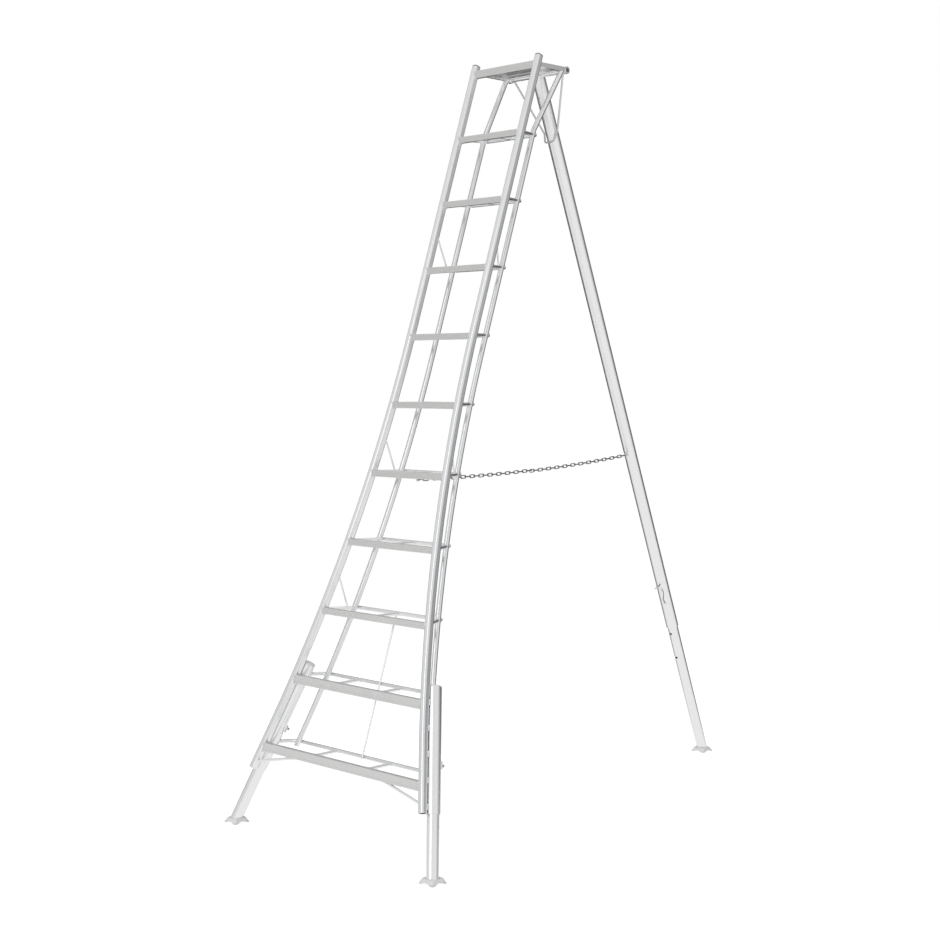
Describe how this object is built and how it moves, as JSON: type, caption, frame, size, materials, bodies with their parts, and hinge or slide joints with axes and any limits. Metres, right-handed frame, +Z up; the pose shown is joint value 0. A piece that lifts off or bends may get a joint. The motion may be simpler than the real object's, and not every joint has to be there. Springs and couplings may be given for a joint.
{
  "type": "orchard tripod ladder",
  "caption": "Aluminium tripod ladder with a flared front frame of deep steps, a small platform, telescopic clawed legs, and a folding back leg held by a chain.",
  "frame": {"origin": "on the ground, in the middle of the rectangle that the three feet fit in", "axes": "+X to the climber's right, +Y from the front frame to the back leg, +Z up"},
  "size_m": [1.2684, 2.5226, 3.2307],
  "materials": {
    "stiles_and_legs": "satin extruded",
    "back_leg": "satin extruded",
    "steps": "ribbed mill finish",
    "tubes": "satin drawn",
    "feet": "cast, scuffed",
    "welds": "weld bead",
    "steel": "zinc plated",
    "chain": "zinc plated",
    "caps": "matte"
  },
  "bodies": {
    "frame": {"bottom_struts": "tubes", "centre_tie_rod": "tubes", "chain_frame_lug": "chain", "chain_lead": "chain", "left_latch_housing": "stiles_and_legs", "left_leg_sleeve": "stiles_and_legs", "left_platform_rail": "steps", "left_rear_tube": "tubes", "left_stile": "stiles_and_legs", "platform_front_rail": "steps", "platform_slats": "steps", "right_latch_housing": "stiles_and_legs", "right_leg_sleeve": "stiles_and_legs", "right_platform_rail": "steps", "right_rear_tube": "tubes", "right_stile": "stiles_and_legs", "side_braces": "tubes", "sleeve_caps": "stiles_and_legs", "sleeve_welds": "welds", "step_rail_1": "steps", "step_rail_10": "steps", "step_rail_2": "steps", "step_rail_3": "steps", "step_rail_4": "steps", "step_rail_5": "steps", "step_rail_6": "steps", "step_rail_7": "steps", "step_rail_8": "steps", "step_rail_9": "steps", "step_ribs": "tubes", "step_strap_1": "tubes", "step_strap_10": "tubes", "step_strap_2": "tubes", "step_strap_3": "tubes", "step_strap_4": "tubes", "step_strap_5": "tubes", "step_strap_6": "tubes", "step_strap_7": "tubes", "step_strap_8": "tubes", "step_strap_9": "tubes", "stile_caps": "caps"},
    "back_leg": {"hinge_axle": "tubes", "back_leg_outer_tube": "back_leg", "back_leg_rivet": "steel", "wire_brace": "steel", "lock_pin_lanyard": "steel", "chain_leg_lug": "chain"},
    "back_leg_extension": {"back_leg_inner_tube": "back_leg", "back_foot": "feet"},
    "back_lock": {"back_lock_pin": "steel"},
    "right_leg": {"right_leg_tube": "stiles_and_legs", "right_foot": "feet"},
    "left_leg": {"left_leg_tube": "stiles_and_legs", "left_foot": "feet"},
    "right_latch": {"right_latch_plunger": "steel"},
    "left_latch": {"left_latch_plunger": "steel"},
    "chain_front_arm": {"chain_front_half": "chain"},
    "chain_rear_arm": {"chain_rear_half": "chain"}
  },
  "joints": [
    {"name": "back_leg_fold", "type": "hinge", "parent": "frame", "child": "back_leg", "pos_m": [0, -0.00565, 3.189], "axis": [1, 0, 0], "range_deg": [-39.6, 0]},
    {"name": "back_leg_slide", "type": "slide", "parent": "back_leg", "child": "back_leg_extension", "axis": [0, 0.3613, -0.9325], "range_m": [-0.393, 0.262], "stiffness_N_per_m": 50000},
    {"name": "back_lock_travel", "type": "slide", "parent": "back_leg", "child": "back_lock", "axis": [0, 0.9325, 0.3613], "range_m": [0, 0.008]},
    {"name": "right_leg_slide", "type": "slide", "parent": "frame", "child": "right_leg", "axis": [0.2983, -0.3019, -0.9055], "range_m": [-0.12, 0.12], "stiffness_N_per_m": 50000},
    {"name": "left_leg_slide", "type": "slide", "parent": "frame", "child": "left_leg", "axis": [-0.2983, -0.3019, -0.9055], "range_m": [-0.12, 0.12], "stiffness_N_per_m": 50000},
    {"name": "right_latch_travel", "type": "slide", "parent": "frame", "child": "right_latch", "axis": [0, -0.9487, 0.3163], "range_m": [0, 0.008]},
    {"name": "left_latch_travel", "type": "slide", "parent": "frame", "child": "left_latch", "axis": [0, -0.9487, 0.3163], "range_m": [0, 0.008]},
    {"name": "chain_front_swing", "type": "hinge", "parent": "frame", "child": "chain_front_arm", "pos_m": [-0.009, -0.63523, 1.44797], "axis": [1, 0, 0], "range_deg": [-112, 0.5]},
    {"name": "chain_rear_swing", "type": "hinge", "parent": "back_leg", "child": "chain_rear_arm", "pos_m": [0.009, 0.59523, 1.50537], "axis": [1, 0, 0], "range_deg": [-0.5, 110]}
  ],
  "couplings": [
    {"joint": "chain_front_swing", "follows": "back_leg_fold", "ratio": 2.76},
    {"joint": "chain_rear_swing", "follows": "back_leg_fold", "ratio": -2.7}
  ]
}
